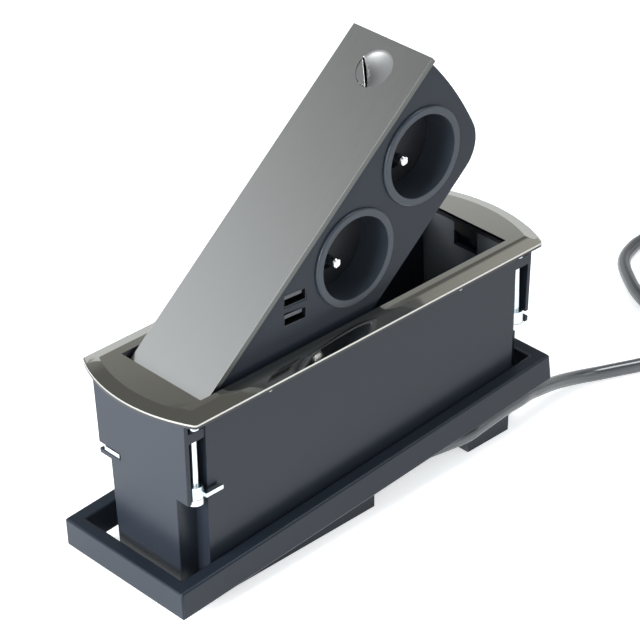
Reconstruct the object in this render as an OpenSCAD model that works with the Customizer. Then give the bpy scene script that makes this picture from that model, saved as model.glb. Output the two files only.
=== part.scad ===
// Flush desk socket: a tilting socket block in a drop-in housing, with corner clamps and a push-on frame.
// Millimetres. Origin on the surface the housing stands on, under the middle of the bezel opening.
// +X runs along the housing towards the cord, +Y to the back, +Z up. Shown open, as photographed.

/* [Bezel] */
// Height of the bezel's flat top above the base
bezel_top = 104.4; // [98:0.2:112]
// Length of the opening that the lid closes
opening_length = 187.8; // [186.6:0.1:190]
// Width of the opening
opening_width = 51.8; // [51:0.1:54]
// Overhang of the bezel past each side panel
bezel_side_overhang = 6.2; // [5:0.1:9]
// Overhang of the bowed ends past the housing, at their middle
bezel_end_overhang = 8.4; // [6.5:0.1:12]
// Radius of the bowed ends in plan
bezel_bow_radius = 78; // [70:1:95]
// Radius of the corners in plan
bezel_corner_radius = 2.2; // [1.5:0.1:4]
// Width of the sloped border round the flat top
bezel_slope_width = 6.5; // [4:0.1:7.5]
// Fall of the sloped border
bezel_slope_fall = 1.6; // [0.8:0.1:2]
// Height of the rim edge
bezel_rim = 1.8; // [1.2:0.1:3]

/* [Housing] */
// From each end of the opening to the end of the housing, where the clamps sit
end_block = 13.7; // [12.6:0.1:15.6]
// From each side of the opening to the outside of the side panel
panel_margin = 5.1; // [4.6:0.1:7.1]
// Inward lean of each end from bezel to base
end_draft = 2.3; // [1:0.1:3.5]
// Inward lean of each side panel from bezel to base
side_draft = 2.4; // [1:0.1:3.2]
// Wall of the housing
housing_wall = 2.6; // [2:0.1:3.2]
// Distance of each side panel's end from the end of the housing
panel_inset = 11.4; // [10.6:0.1:12]
// Step of the end flanges behind the panels
flange_step = 0.6; // [0.3:0.1:1]
// Thickness of each end flange
flange_wall = 2.2; // [1.8:0.1:2.4]
// Height at which the end flanges are cut back
flange_cut_height = 57; // [52:0.5:58.5]
// Half width of the housing ends below that
lower_half_width = 22; // [21:0.1:23]
// Height of the bay's floor
bay_floor = 37; // [34:0.5:39]
// Start and end of the cable notch along the front
notch_start = 5.7; // [2:0.1:12]
// End of the cable notch
notch_end = 67.6; // [62:0.1:76]
// Depth of the cable notch behind the front
notch_depth = 37; // [34:0.5:42]
// Height of the cable notch
notch_height = 17.5; // [16:0.5:24]

/* [Tilting block] */
// Distance of the pivot from its end of the opening
pivot_inset = 11.2; // [10.5:0.1:11.9]
// Depth of the pivot below the bezel's top
pivot_depth = 8.9; // [8.4:0.1:10]
// Angle at which the block stands open
open_angle = 39.7; // [25:0.1:45]
// Gap round the closed lid at its far end
lid_gap = 0.7; // [0.4:0.1:1.5]
// Gap between the lid and each side of the opening
lid_side_gap = 1.4; // [0.7:0.1:2.4]
// Thickness of the lid plate
lid_thickness = 2.8; // [2:0.1:3.4]
// Radius of the lid's rolled-down end
roll_radius = 8.6; // [8.2:0.1:8.9]
// Thickness of the rolled end
roll_wall = 1.2; // [0.8:0.1:1.6]
// Step of the block's face behind the lid's edge
body_step = 0.9; // [0.5:0.1:1.5]
// Depth of the block below the lid's top
body_depth = 62.6; // [60:0.2:64]
// Wall of the block's mouldings
body_wall = 2.4; // [2:0.1:3]
// Radius of the block's lower far corner
body_corner_radius = 17; // [12:0.5:22]
// Diameter of the pivot pins
pivot_pin_diameter = 4; // [3.4:0.1:4.4]
// Running clearance of the pivot, all round
pivot_clearance = 0.05; // [0.02:0.01:0.08]

/* [Sockets] */
// Distance of the outer socket from the lid's far end
socket_one = 34; // [32:0.2:38]
// Distance of the inner socket from the lid's far end
socket_two = 87.9; // [84:0.2:92]
// Depth of both sockets below the lid's top
socket_depth_down = 31.5; // [30:0.2:33]
// Outside diameter of the socket's ring
socket_ring = 47; // [45:0.2:49]
// Inside diameter of the well
socket_well = 39.5; // [38.5:0.1:40.5]
// Height of the ring above the block's face
ring_proud = 1.3; // [0.6:0.1:2.5]
// Depth of the well
well_depth = 17.5; // [15:0.5:18]
// Spacing of the two live holes
live_spacing = 19; // [18.5:0.1:19.5]
// Diameter of the live holes
live_hole = 5.4; // [5:0.1:6]
// Diameter of the earth pin
earth_pin = 4.8; // [4.6:0.1:5]
// Offset of the earth pin from the live holes
earth_offset = 10; // [9.5:0.1:10.5]

// Diameter of the finger dish in the lid
dish_diameter = 19; // [16:0.5:22]
// Depth of the dish
dish_depth = 2; // [1.2:0.1:2.3]

/* [USB ports] */
// Width of a port's opening
usb_width = 12.5; // [12:0.1:13.2]
// Height of a port's opening
usb_height = 5.1; // [4.5:0.1:5.8]
// Angle of the ports to the lid
usb_angle = 43.5; // [35:0.5:50]

/* [Clamps] */
// Distance of the clamp screws from the end of the housing
screw_end_inset = 7.4; // [7.3:0.05:7.5]
// Distance of the clamp screws behind the side panels
screw_side_inset = 4.3; // [4:0.1:4.7]
// Diameter of the clamp screws
screw_diameter = 4; // [3.5:0.1:4.4]
// Height of the underside of the pawls
pawl_height = 58.7; // [58.7:0.1:64]
// Height of a pawl's hub
pawl_rise = 6.1; // [4.6:0.1:7]
// Radius of a pawl's hub
pawl_hub = 3.9; // [3.6:0.05:4]
// Reach of a pawl's arm from the screw
pawl_reach = 10.8; // [9:0.1:11.2]
// Width of a pawl's arm
pawl_width = 2.2; // [1.6:0.1:2.3]
// Thickness of a pawl's arm
pawl_arm = 2; // [1.5:0.1:2.4]

/* [Clamping frame] */
// Gap between the frame's opening and each end of the housing, measured at the bezel
frame_end_gap = 2.6; // [2.1:0.1:6]
// Gap between the frame's opening and each side of the housing, measured at the bezel
frame_side_gap = 1.5; // [1.2:0.1:4.7]
// Height of the frame
frame_height = 14.5; // [10:0.5:18]
// Wall of the frame along its sides
frame_wall = 7.3; // [5:0.1:7.4]
// Tilt of the frame as it hangs in the photo
frame_tilt = 4.2; // [3.4:0.1:4.6]

/* [Cord] */
// Diameter of the cord
cord_diameter = 7; // [6:0.1:7.2]
// Mean radius of the coil's inner turn
coil_inner = 32; // [28:0.5:40]

/* [Hidden] */
$fn = 64;
eps = 0.01;
seat = 0.3;
bezel_under = bezel_top - bezel_slope_fall - bezel_rim;
bezel_lip = bezel_under - 0.3;
opening_half = opening_length / 2;
housing_length = opening_length + 2 * end_block;
housing_width = opening_width + 2 * panel_margin;
bezel_length = housing_length + 2 * bezel_end_overhang;
bezel_width = housing_width + 2 * bezel_side_overhang;
lid_width = opening_width - 2 * lid_side_gap;
panel_end = housing_length / 2 - panel_inset;
screw_x = housing_length / 2 - screw_end_inset;
screw_y = housing_width / 2 - screw_side_inset;
pivot_x = pivot_inset - opening_half;
pivot_z = bezel_top - pivot_depth;
lid_reach = opening_half - lid_gap - pivot_x;
body_half = lid_width / 2 - body_step;
panel_half = housing_width / 2;
end_half = housing_length / 2;
frame_length = housing_length + 2 * (frame_end_gap + frame_wall);
frame_width = housing_width + 2 * (frame_side_gap + frame_wall);
body_sweep = lid_reach - 1.6;
far_z = body_depth - pivot_depth;
screw_hole = screw_diameter / 2 + 0.2;
screw_run = 0.05;
nut_wall = 0.9;
head_radius = screw_diameter / 2 + 1.5;
head_height = 2.6;
pin_r = pivot_pin_diameter / 2;
// Draft of the walls per millimetre of height
end_lean = end_draft / bezel_top;
side_lean = side_draft / bezel_top;
bay_right = opening_half + 0.4;
bay_left = -opening_half - 0.4;
pocket_back = screw_y - pawl_hub - 1.3;
bridge_low = 88.9;
bridge_high = 94;
arm_low = pawl_height + 1.5;
slot_low = arm_low - 0.6;
slot_high = arm_low + pawl_arm + 0.5;
cord_r = cord_diameter / 2;
tie_thickness = 1;
tie_width = 8;
coil_z = cord_r + tie_thickness + 0.1;

// Places the model of the block at its pivot, leaning open.
module at_block() {
    translate([pivot_x, 0, pivot_z])
        rotate([0, -open_angle, 0])
            children();
}

// Turns a shape drawn in a side view, along and up, so that it runs from y1 to y2.
module across(y1, y2) {
    translate([0, y2, 0])
        rotate([90, 0, 0])
            linear_extrude(height = y2 - y1)
                children();
}

// A cylinder along Y from y1 to y2.
module rod_y(y1, y2, r) {
    translate([0, y2, 0])
        rotate([90, 0, 0])
            cylinder(h = y2 - y1, r = r);
}

// A point of the block's face, from the far end of the lid and down from its top.
function along(u) = lid_reach - u;
function down(w) = pivot_depth - w;

module at_face(u, w) {
    translate([along(u), 0, down(w)])
        children();
}

// Half width and half length of the drafted housing at a height.
function panel_at(z) = panel_half - side_lean * (bezel_top - z);
function end_at(z) = end_half - end_lean * (bezel_top - z);
function panel_end_at(z) = panel_end - end_lean / 2 * (bezel_top - z);

// A shape drawn across and up, run along X from x1 to x2.
module lengthwise(x1, x2) {
    translate([x1, 0, 0])
        rotate([90, 0, 90])
            linear_extrude(height = x2 - x1)
                children();
}

module four_corners() {
    for (sx = [0, 1])
        for (sy = [0, 1])
            mirror([sx, 0, 0])
                mirror([0, sy, 0])
                    children();
}

bow_centre = bezel_length / 2 - bezel_bow_radius;

// Cuts the sharp corner between the straight side and the bowed end to a radius.
module bezel_corner_cut() {
    r = bezel_corner_radius;
    fy = bezel_width / 2 - r;
    fx = bow_centre + sqrt(pow(bezel_bow_radius - r, 2) - fy * fy);
    reach = bezel_bow_radius + 3;
    k = reach / (bezel_bow_radius - r);
    translate([0, 0, bezel_under - 1])
        linear_extrude(height = bezel_top - bezel_under + 2)
            difference() {
                polygon([[fx, fy], [fx, fy + r + 3], [fx + r + 9, fy + r + 3],
                    [bow_centre + (fx - bow_centre) * k, fy * k]]);
                translate([fx, fy])
                    circle(r = r);
            }
}

module bezel() {
    half = bezel_width / 2;
    inner = bezel_bow_radius - bezel_slope_width;
    step = bezel_top - bezel_slope_fall;
    color("dimgray")
        difference() {
            intersection() {
                lengthwise(-bezel_length, bezel_length)
                    polygon([[-half, bezel_lip], [half, bezel_lip], [half, step],
                        [half - bezel_slope_width, bezel_top], [bezel_slope_width - half, bezel_top], [-half, step]]);
                union()
                    for (s = [-1, 1])
                        translate([s * bow_centre, 0, 0])
                            rotate_extrude($fn = 160)
                                polygon([[0, bezel_lip], [bezel_bow_radius, bezel_lip], [bezel_bow_radius, step],
                                    [inner, bezel_top], [0, bezel_top]]);
            }
            four_corners()
                bezel_corner_cut();
            translate([-opening_half, -opening_width / 2, bezel_under - 1])
                cube([opening_length, opening_width, bezel_top]);
            translate([-end_half - 0.5, -panel_half - 0.5, bezel_under - 1])
                cube([housing_length + 1, housing_width + 1, 1]);
        }
}

// The moulding before its bay, pockets and notch are cut: a body between the panels and two narrower ends.
module housing_blank() {
    top = bezel_under;
    cut = flange_cut_height;
    step = flange_step;
    low = lower_half_width - panel_at(cut);
    intersection() {
        across(-housing_width, housing_width)
            polygon([[-panel_end_at(0), 0], [panel_end_at(0), 0], [panel_end_at(top), top], [-panel_end_at(top), top]]);
        lengthwise(-housing_length, housing_length)
            polygon([[-panel_at(0), 0], [panel_at(0), 0], [panel_at(top), top], [-panel_at(top), top]]);
    }
    intersection() {
        across(-housing_width, housing_width)
            polygon([[-end_at(0), 0], [end_at(0), 0], [end_at(top), top], [-end_at(top), top]]);
        lengthwise(-housing_length, housing_length)
            polygon([[-panel_at(0) - low, 0], [panel_at(0) + low, 0], [panel_at(cut) + low, cut],
                [panel_at(cut) - step, cut], [panel_at(top) - step, top], [step - panel_at(top), top],
                [step - panel_at(cut), cut], [-panel_at(cut) - low, cut]]);
    }
}

// The pocket of a clamp screw, open to the side and downwards, with the bridge that carries the head.
module screw_pocket() {
    wall = flange_wall;
    back = pocket_back;
    across(back, housing_width)
        polygon([[panel_end_at(-1), -1], [end_at(-1) - wall, -1], [end_at(bridge_low) - wall, bridge_low],
            [panel_end_at(bridge_low), bridge_low]]);
    across(back, housing_width)
        polygon([[panel_end_at(bridge_high), bridge_high], [end_at(bridge_high) - wall, bridge_high],
            [end_at(bezel_under + 1) - wall, bezel_under + 1], [panel_end_at(bezel_under + 1), bezel_under + 1]]);
    translate([screw_x, screw_y, bridge_low - 1])
        cylinder(h = bridge_high - bridge_low + 2, r = screw_hole);
}

// The slot in an end flange where a pawl's arm parks.
module parking_slot() {
    translate([screw_x + pawl_hub - 0.7, screw_y - pawl_reach - 0.7, slot_low])
        cube([20, 30, slot_high - slot_low]);
}

module housing() {
    w = housing_wall;
    color("darkslategray")
        difference() {
            housing_blank();
            bay_space();
            difference() {
                under_space();
                intersection() {
                    translate([notch_start - w, -housing_width, -1])
                        cube([notch_end - notch_start + 2 * w, housing_width - panel_at(0) + notch_depth + w,
                            notch_height + w + 1]);
                    housing_blank();
                }
            }
            cable_notch();
            for (s = [0, 1])
                mirror([s, 0, 0])
                    end_hollow();
            keeper_window();
            four_corners()
                screw_pocket();
            for (a = [0, 180])
                rotate([0, 0, a])
                    mirror([0, 1, 0])
                        parking_slot();
            clip_holes(clip_r);
            cover_screw_places()
                cylinder(h = 14, r = cover_screw_r);
            gland_place()
                cylinder(h = 12, r = gland_r, center = true);
            translate([pivot_x, 0, pivot_z])
                rod_y(-panel_at(pivot_z) + 1.2, panel_at(pivot_z) - 1.2, pin_r);
        }
}

module bay_space() {
    w = housing_wall;
    top = bezel_under + 1;
    difference() {
        intersection() {
            translate([bay_left, -housing_width, bay_floor])
                cube([bay_right - bay_left, 2 * housing_width, top - bay_floor]);
            lengthwise(-housing_length, housing_length)
                polygon([[w - panel_at(0), 0], [panel_at(0) - w, 0], [panel_at(top) - w, top], [w - panel_at(top), top]]);
        }
        pivot_bosses();
    }
}

// Bosses on the bay's walls that hold the pivot pins close to the block.
module pivot_bosses() {
    for (s = [0, 1])
        mirror([0, s, 0])
            translate([pivot_x, 0, pivot_z])
                rod_y(body_half + seat, housing_width, pin_r + boss_wall);
}

module under_space() {
    w = housing_wall;
    top = bay_floor - w;
    difference() {
        intersection() {
            translate([-under_half, -housing_width, -1])
                cube([2 * under_half, 2 * housing_width, top + 1]);
            lengthwise(-housing_length, housing_length)
                polygon([[w - panel_at(-1), -1], [panel_at(-1) - w, -1], [panel_at(top) - w, top], [w - panel_at(top), top]]);
        }
        cover_screw_places()
            translate([0, 0, cover_thickness])
                cylinder(h = bay_floor, r = cover_screw_r + 2.2);
    }
}

under_half = opening_half - 1.4;
cover_screw_r = 1.5;
cover_screw_x = opening_half - 9.9;
cover_screw_y = panel_half - 11;

module cover_screw_places() {
    for (x = [-cover_screw_x, cover_screw_x])
        for (y = [-cover_screw_y, cover_screw_y])
            translate([x, y, 0])
                children();
}

module cable_notch() {
    translate([notch_start, -housing_width, -1])
        cube([notch_end - notch_start, housing_width - panel_at(0) + notch_depth, notch_height + 1]);
}

// The end blocks are hollow from below, behind the pockets.
module end_hollow() {
    x1 = bay_right + housing_wall;
    translate([x1, -hollow_half, -1])
        cube([hollow_end - x1, 2 * hollow_half, bezel_under - 7]);
    translate([x1 - 8, -hollow_half, -1])
        cube([9, 2 * hollow_half, bay_floor - housing_wall + 1]);
}

hollow_half = lower_half_width - (panel_at(flange_cut_height) - panel_at(0)) - housing_wall;
hollow_end = end_at(0) - housing_wall;
cover_seat = 0.15;
cover_thickness = 2.4;
gland_y = -20.5;
gland_z = 7.2;
gland_r = 4.6;
relief_length = 20;
clip_x = 58.8;
clip_z = 96;
clip_r = 1.1;

module clip_holes(r) {
    for (x = [-clip_x, clip_x])
        for (s = [0, 1])
            mirror([0, s, 0])
                translate([x, 0, clip_z])
                    rod_y(panel_at(clip_z) - housing_wall - 1, panel_at(clip_z) + 1, r);
}

// Snap pins of the bezel, seen through the panels below the rim.
module bezel_clips() {
    inner = opening_width / 2 + 0.4;
    color("gray")
        for (x = [-clip_x, clip_x])
            for (s = [0, 1])
                mirror([0, s, 0]) {
                    translate([x, 0, clip_z])
                        rod_y(inner + 0.9, panel_at(clip_z) + 0.5, clip_r);
                    translate([x - 4, inner, clip_z - 3])
                        cube([8, 1.1, bezel_under - clip_z + 3]);
                }
}

module hinge_pins() {
    reach = panel_at(pivot_z) - 1.2;
    color("silver")
        translate([pivot_x, 0, pivot_z])
            for (s = [0, 1])
                mirror([0, s, 0])
                    rod_y(body_half - 5.4, reach, pin_r);
}

module base_cover() {
    w = housing_wall;
    g = cover_seat;
    half = panel_at(0) - w - g;
    color("slategray")
        difference() {
            union() {
                translate([g - under_half, -half, 0])
                    cube([2 * (under_half - g), 2 * half, cover_thickness]);
                translate([g - hollow_end, g - hollow_half, 0])
                    cube([2 * (hollow_end - g), 2 * (hollow_half - g), cover_thickness]);
            }
            translate([notch_start - w - g, -housing_width, -1])
                cube([notch_end - notch_start + 2 * (w + g), housing_width - panel_at(0) + notch_depth + w + g,
                    cover_thickness + 2]);
            cover_screw_places() {
                translate([0, 0, -1])
                    cylinder(h = cover_thickness + 2, r = cover_screw_r);
                translate([0, 0, -1])
                    cylinder(h = 2.2, r = cover_screw_r + 1.3);
            }
        }
}

module cover_screws() {
    color("silver")
        cover_screw_places() {
            translate([0, 0, 0.4])
                cylinder(h = 11.6, r = cover_screw_r);
            translate([0, 0, 0.3])
                cylinder(h = 0.9, r = cover_screw_r + 1.3);
        }
}

module gland_place() {
    translate([notch_start, gland_y, gland_z])
        rotate([0, 90, 0])
            children();
}

module cable_gland() {
    color("dimgray")
        gland_place()
            difference() {
                union() {
                    translate([0, 0, -housing_wall - 3])
                        cylinder(h = housing_wall + 3, r = gland_r);
                    cylinder(h = 2.6, r = gland_r + 1.5);
                }
                translate([0, 0, -housing_wall - 4])
                    cylinder(h = housing_wall + 8, r = cord_r);
            }
}

// Tapered boot that the cord leaves by.
module strain_relief() {
    color("darkslategray")
        gland_place()
            difference() {
                translate([0, 0, 2.6])
                    cylinder(h = relief_length, r1 = gland_r + 0.5, r2 = cord_r + 0.8);
                for (k = [0:5])
                    translate([0, 0, 5 + 2.6 * k])
                        for (a = [45, 225])
                            rotate([0, 0, a])
                                translate([cord_r, -8, 0])
                                    cube([6, 16, 1.2]);
            }
}

module terminal_block() {
    color("ivory")
        difference() {
            translate([-46, -11, cover_thickness])
                cube([34, 22, 15]);
            for (k = [0:2])
                for (y = [-6, 6])
                    translate([-40 + 11 * k, y, cover_thickness + 9])
                        cylinder(h = 8, r = 2.2);
        }
}

// Plate let into the bay's end wall, under the bezel, that the latch hook reaches below.
module latch_keeper() {
    color("gray")
        translate([bay_right, -keeper_half, pivot_z + 0.7])
            cube([1.6, 2 * keeper_half, bezel_under - pivot_z - 0.7]);
}

// Window in the end wall for the keeper and, below it, the latch hook.
module keeper_window() {
    translate([bay_right - 1, -keeper_half, pivot_z + hook_low - 1])
        cube([housing_wall + 1, 2 * keeper_half, bezel_under - pivot_z - hook_low + 1]);
}

roll_a = 3.4;
roll_b = 0.3;
body_top = pivot_depth - lid_thickness;

// Side view of the block: the far end sweeps round the pivot and the lower corner is rounded.
module block_outline(inset) {
    r = body_corner_radius - inset;
    sweep = body_sweep - inset;
    low = inset - far_z;
    fb = low + r;
    fa = sqrt(pow(sweep - r, 2) - fb * fb);
    k = (sweep + 6) / (sweep - r);
    left = roll_a - roll_radius + roll_wall + inset;
    difference() {
        intersection() {
            translate([left, low])
                square([sweep + 20, body_top - inset - low]);
            circle(r = sweep, $fn = 256);
        }
        difference() {
            polygon([[fa, fb], [fa, fb - r - 6], [fa + r + 14, fb - r - 6], [fa * k, fb * k]]);
            translate([fa, fb])
                circle(r = r);
        }
        difference() {
            translate([left - 5, roll_b])
                square([roll_a - left + 5, 20]);
            translate([roll_a, roll_b])
                circle(r = roll_radius - roll_wall - inset);
        }
        polygon([[left - 3, -9], [left, -9], [left + 18, low], [left + 18, low - 3], [left - 3, low - 3]]);
    }
}

boss_wall = 1.7;
bush_r = pin_r + pivot_clearance + 1.3;
screw_bosses = [[61, 11], [61, 53], [116, 50], [150, 34]];
boss_r = 3.5;
block_screw_r = 1.5;
socket_outer = socket_well / 2 + 1.6;
well_floor = well_depth - body_half - ring_proud;
usb_ports = [[118.6, 12.3], [124.8, 19.6]];
usb_wall = 0.3;
usb_length = 14;

module at_socket(u) {
    at_block()
        at_face(u, socket_depth_down)
            rotate([0, -45, 0])
                children();
}

module at_port(k) {
    at_block()
        at_face(usb_ports[k][0], usb_ports[k][1])
            rotate([0, usb_angle, 0])
                children();
}

module boss_places() {
    for (p = screw_bosses)
        at_face(p[0], p[1])
            children();
}

hook_low = -6;
hook_high = 0;
hook_half = 5;
hook_back = 0.3;
keeper_half = hook_half + 2.5;

module block_front() {
    color("darkslategray")
        at_block()
            difference() {
                across(-body_half, 0)
                    block_outline(0);
                difference() {
                    across(body_wall - body_half, 1)
                        block_outline(body_wall);
                    boss_places()
                        rod_y(-body_half, 0, boss_r);
                    rod_y(-body_half, 5 - body_half, bush_r + 1);
                }
                boss_places()
                    rod_y(-11, 1, block_screw_r);
                for (u = [socket_one, socket_two])
                    at_face(u, socket_depth_down)
                        rod_y(-body_half - 1, 1, socket_outer);
                for (p = usb_ports)
                    at_face(p[0], p[1])
                        rotate([0, usb_angle, 0])
                            translate([-usb_width / 2 - usb_wall, -body_half - 1, -usb_height / 2 - usb_wall])
                                cube([usb_width + 2 * usb_wall, usb_length, usb_height + 2 * usb_wall]);
                rod_y(-body_half - 1, 6 - body_half, bush_r);
                hook_window();
                flap_recess(body_top - body_wall - 1);
            }
}

module block_rear() {
    color("darkslategray")
        at_block()
            difference() {
                across(0, body_half)
                    block_outline(0);
                difference() {
                    across(-1, body_half - body_wall)
                        block_outline(body_wall);
                    boss_places()
                        rod_y(0, body_half, boss_r);
                    rod_y(body_half - 5, body_half, bush_r + 1);
                }
                for (u = [socket_one, socket_two])
                    at_face(u, socket_depth_down)
                        rod_y(-1, 6 + eps, socket_outer);
                boss_places() {
                    rod_y(-1, body_half + 1, block_screw_r);
                    rod_y(body_half - 2.2, body_half + 1, block_screw_r + 1.4);
                }
                rod_y(body_half - 6, body_half + 1, bush_r);
                hook_window();
                flap_recess(body_top - body_wall - 1);
            }
}

// Window in the block's far end for the latch hook.
module hook_window() {
    translate([lid_reach - 12, -hook_half - seat, hook_low - seat])
        cube([20, 2 * (hook_half + seat), hook_high - hook_low + 2 * seat]);
}

flap_u = 15;
flap_chord = 5.2;
flap_hinge = 8.3;
flap_pin = 0.5;
flap_r = dish_diameter / 2 - 0.5;

module at_dish() {
    translate([along(flap_u), 0, 0])
        rotate([0, 0, 133])
            children();
}

// Half-moon hole that the flap sits in, from the lid's top down to a height.
module flap_recess(low) {
    at_dish()
        translate([0, 0, low])
            linear_extrude(height = pivot_depth + 1 - low)
                intersection() {
                    circle(r = flap_r + seat);
                    translate([flap_chord - 0.8, -dish_diameter])
                        square([dish_diameter, 2 * dish_diameter]);
                }
}

module lid() {
    half = lid_width / 2;
    rr = roll_radius;
    dish_r = (pow(dish_diameter / 2, 2) + dish_depth * dish_depth) / (2 * dish_depth);
    color("lightgray")
        at_block()
            difference() {
                across(-half, half)
                    union() {
                        translate([roll_a, body_top])
                            square([lid_reach - roll_a, lid_thickness]);
                        intersection() {
                            difference() {
                                translate([roll_a, roll_b])
                                    circle(r = rr, $fn = 128);
                                translate([roll_a, roll_b])
                                    circle(r = rr - roll_wall, $fn = 128);
                            }
                            translate([roll_a - 2 * rr, roll_b])
                                square([2 * rr, 2 * rr]);
                        }
                        translate([roll_a - rr, -3.4])
                            square([roll_wall, roll_b + 3.4]);
                    }
                translate([along(flap_u), 0, pivot_depth + dish_r - dish_depth])
                    sphere(r = dish_r, $fn = 128);
                flap_recess(0);
                at_dish()
                    translate([flap_hinge, 0, pivot_depth - 0.9])
                        rod_y(-5.6, 5.6, flap_pin + pivot_clearance);
            }
}

// Half-moon pull flap beside the dish.
module latch_flap() {
    color("silver")
        at_block()
            at_dish()
                union() {
                    translate([0, 0, pivot_depth - 1.7])
                        linear_extrude(height = 1.6)
                            intersection() {
                                circle(r = flap_r);
                                translate([flap_chord, -dish_diameter])
                                    square([dish_diameter, 2 * dish_diameter]);
                            }
                    translate([flap_hinge, 0, pivot_depth - 0.9])
                        rod_y(-5.2, 5.2, flap_pin);
                }
}

module latch_hook() {
    color("gray")
        at_block()
            difference() {
                translate([lid_reach - 9, -hook_half, hook_low])
                    cube([9 - hook_back, 2 * hook_half, hook_high - hook_low]);
                translate([lid_reach - hook_back, -hook_half - 1, hook_low])
                    rotate([0, 35, 0])
                        translate([0, 0, -4])
                            cube([6, 2 * hook_half + 2, 8]);
            }
}

module pivot_bushes() {
    color("goldenrod")
        at_block()
            for (s = [0, 1])
                mirror([0, s, 0])
                    difference() {
                        rod_y(body_half - 5, body_half, bush_r);
                        rod_y(body_half - 6, body_half + 1, pin_r + pivot_clearance);
                    }
}

module block_screws() {
    color("silver")
        at_block()
            boss_places() {
                rod_y(-10, body_half - 2.2, block_screw_r);
                rod_y(body_half - 2.2, body_half - 0.6, block_screw_r + 1.3);
            }
}

// Ring and well of a socket outlet, with a rounded lip.
module socket_ring(u) {
    front = body_half + ring_proud;
    color("black")
        at_socket(u)
            rotate([90, 0, 0])
                rotate_extrude()
                    difference() {
                        union() {
                            translate([socket_well / 2, body_half])
                                square([socket_ring / 2 - socket_well / 2, ring_proud]);
                            translate([socket_well / 2, -well_floor])
                                square([socket_outer - socket_well / 2, front + well_floor]);
                        }
                        difference() {
                            translate([socket_ring / 2 - 1, front - 1])
                                square([2, 2]);
                            translate([socket_ring / 2 - 1, front - 1])
                                circle(r = 1);
                        }
                    }
}

floor_plate = 2.5;
shutter_space = 3;
shutter_travel = 8;
shutter_half = live_spacing / 2 + 4;
floor_back = 6;

// Floor of a well with its live holes, and the carrier of the contacts behind the shutter's slide.
module socket_floor(u) {
    slide = well_floor + floor_plate;
    color("dimgray")
        at_socket(u)
            difference() {
                rod_y(well_floor, floor_back, socket_outer);
                for (s = [-1, 1]) {
                    translate([s * live_spacing / 2, 0, 0])
                        rod_y(well_floor - 1, slide + 1, live_hole / 2);
                    translate([s * live_spacing / 2, 0, 0])
                        rod_y(slide, floor_back + 1, 3.1);
                }
                translate([0, 0, earth_offset])
                    rod_y(well_floor - 1, 2, earth_pin / 2);
                translate([-shutter_half - 0.4, slide, -socket_outer])
                    cube([2 * shutter_half + 0.8, shutter_space, socket_outer + 4.5]);
            }
}

module earth_pin_at(u) {
    tip = 1.2 - body_half - ring_proud;
    r = earth_pin / 2;
    color("gainsboro")
        at_socket(u)
            translate([0, 0, earth_offset])
                rotate([90, 0, 0])
                    rotate_extrude()
                        polygon([[0, -2], [r, -2], [r, -tip - 1.2], [r - 0.4, -tip - 0.4], [r - 1.1, -tip], [0, -tip]]);
}

module shutter(u) {
    slide = well_floor + floor_plate;
    color("white")
        at_socket(u)
            translate([-shutter_half, slide + seat, -4.2])
                cube([2 * shutter_half, shutter_space - 2 * seat, 8.4]);
}

module live_contacts(u) {
    slide = well_floor + floor_plate + shutter_space;
    color("goldenrod")
        at_socket(u)
            for (s = [-1, 1])
                translate([s * live_spacing / 2, 0, 0])
                    difference() {
                        rod_y(slide, 10, 3.1);
                        rod_y(slide - 1, 8, 2.45);
                    }
}

module usb_shell(k) {
    w = usb_width / 2;
    h = usb_height / 2;
    color("silver")
        at_port(k)
            translate([0, -body_half - 0.1, 0])
                difference() {
                    translate([-w - usb_wall, 0, -h - usb_wall])
                        cube([2 * (w + usb_wall), usb_length, 2 * (h + usb_wall)]);
                    translate([-w, -1, -h])
                        cube([2 * w, usb_length + 2, 2 * h]);
                }
}

module usb_tongue(k) {
    w = usb_width / 2;
    h = usb_height / 2;
    color("white")
        at_port(k)
            translate([0, -body_half - 0.1, 0]) {
                translate([0.7 - w, 1.6, -0.3])
                    cube([2 * w - 1.4, usb_length - 2.2, 1.8]);
                translate([-w, usb_length - 1.2, -h])
                    cube([2 * w, 1.2, 2 * h]);
            }
}

board_length = 27;
board_height = 26;
board_thickness = 1.6;
board_end = 137;
board_low = 32;

module charger_board() {
    color("green")
        at_block()
            translate([along(board_end), usb_length - body_half - 0.1, down(board_low)])
                cube([board_length, board_thickness, board_height]);
}

module at_corner(sx, sy) {
    translate([sx * screw_x, sy * screw_y, 0])
        children();
}

// Clamp screw: pan head on the bridge, long shank, and the end disc that keeps the pawl on.
module clamp_screw(sx, sy) {
    r = screw_diameter / 2;
    color("lightsteelblue")
        at_corner(sx, sy)
            difference() {
                union() {
                    translate([0, 0, pawl_height - 3])
                        cylinder(h = bridge_high + head_height + 0.05 - pawl_height + 3, r = r);
                    translate([0, 0, pawl_height - 3.3])
                        cylinder(h = 3, r = pawl_hub);
                    translate([0, 0, bridge_high + 0.05])
                        rotate_extrude()
                            polygon([[0, 0], [head_radius, 0], [head_radius, head_height - 0.8],
                                [head_radius - 0.9, head_height], [0, head_height]]);
                }
                for (a = [0, 90])
                    rotate([0, 0, a])
                        translate([-1.8, -0.45, bridge_high + head_height - 1.2])
                            cube([3.6, 0.9, 3]);
            }
}

// Threaded insert of a pawl.
module clamp_nut(sx, sy) {
    r = screw_diameter / 2 + screw_run;
    color("gold")
        at_corner(sx, sy)
            translate([0, 0, pawl_height])
                difference() {
                    cylinder(h = pawl_rise, r = r + nut_wall);
                    translate([0, 0, -1])
                        cylinder(h = pawl_rise + 2, r = r);
                }
}

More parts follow.
